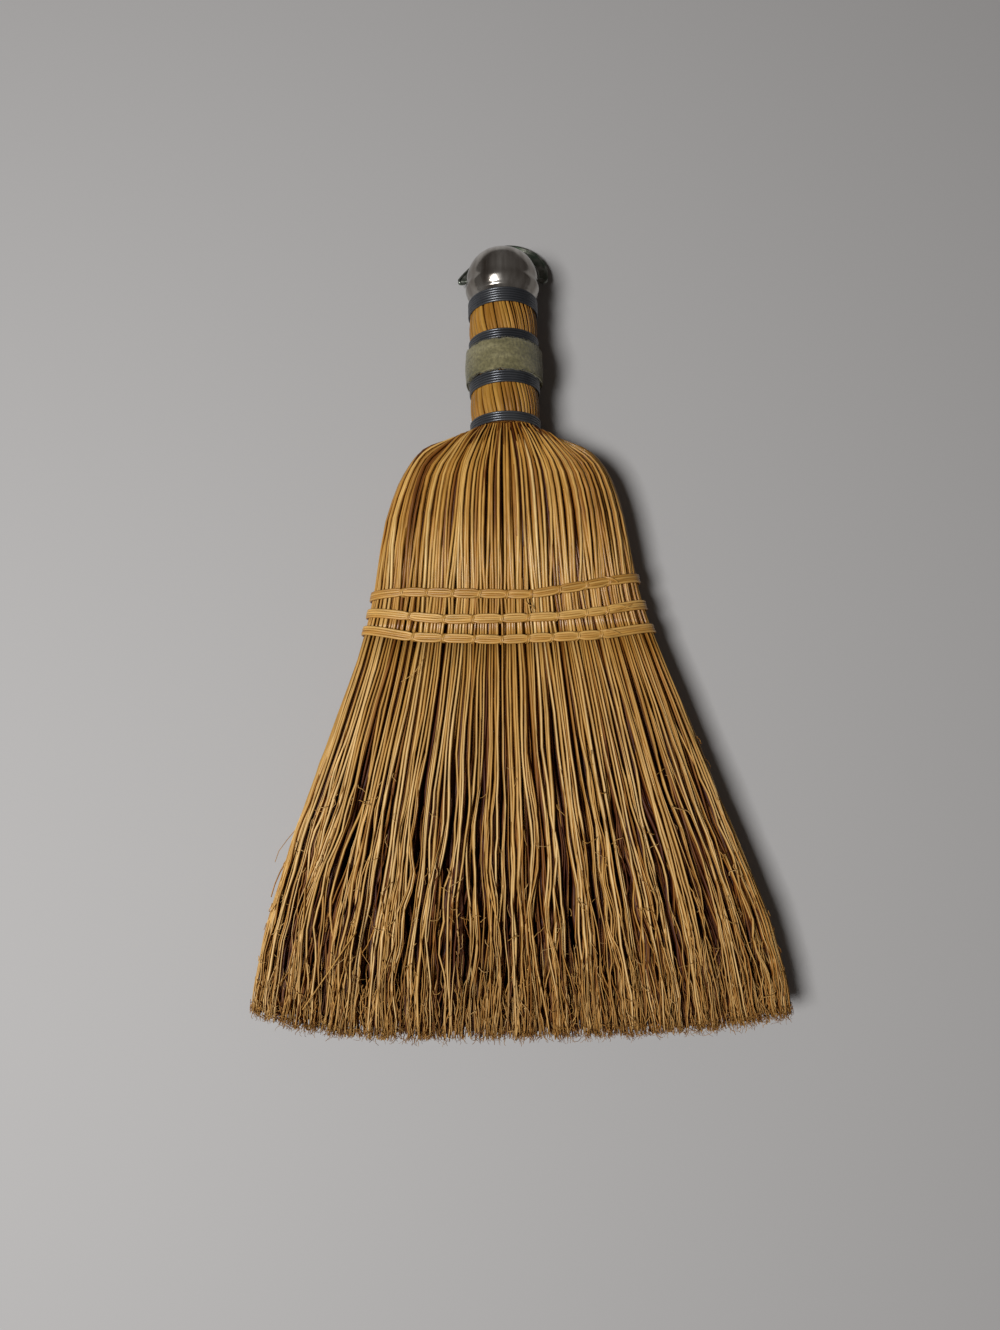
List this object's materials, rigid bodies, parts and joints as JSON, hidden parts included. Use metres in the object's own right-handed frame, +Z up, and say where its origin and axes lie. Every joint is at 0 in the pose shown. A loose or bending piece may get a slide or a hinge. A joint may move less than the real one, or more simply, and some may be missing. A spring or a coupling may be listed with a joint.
{
  "type": "hand broom",
  "caption": "Short-handled broom of bound straw with a flat sewn fan of bristles, wire bands and a plush grip on the handle, a domed metal cap and a swinging hanging ring, for sweeping by hand.",
  "frame": {"origin": "on the floor under the middle of the broom as it lies on its back", "axes": "+X across the broom, +Y along the handle towards the cap, +Z up from the floor through the front of the head"},
  "size_m": [0.2122, 0.3414, 0.0346],
  "materials": {
    "straw": "dry golden plant stalks, matt with a faint waxy shine",
    "twine": "waxed golden sewing twine",
    "wire": "dull blue-grey soft iron wire",
    "plush": "worn grey-green plush",
    "plating": "worn bright nickel plating"
  },
  "bodies": {
    "broom": {"core_bundle": "straw", "left_shoulder_bundle": "straw", "right_shoulder_bundle": "straw", "front_hurl": "straw", "back_hurl": "straw", "inner_binding_wire": "wire", "wire_band_cap": "wire", "wire_band_upper": "wire", "wire_band_lower": "wire", "wire_band_neck": "wire", "stitch_wrap_top": "twine", "stitch_ties_top": "twine", "stitch_wrap_middle": "twine", "stitch_ties_middle": "twine", "stitch_wrap_bottom": "twine", "stitch_ties_bottom": "twine", "plush_sleeve": "plush", "end_cap": "plating"},
    "hanger": {"hang_ring": "plating"}
  },
  "joints": [
    {"name": "ring_swing", "type": "hinge", "parent": "broom", "child": "hanger", "pos_m": [0, 0.15031, 0.006], "axis": [1, 0, 0], "range_deg": [-140, 75]}
  ]
}
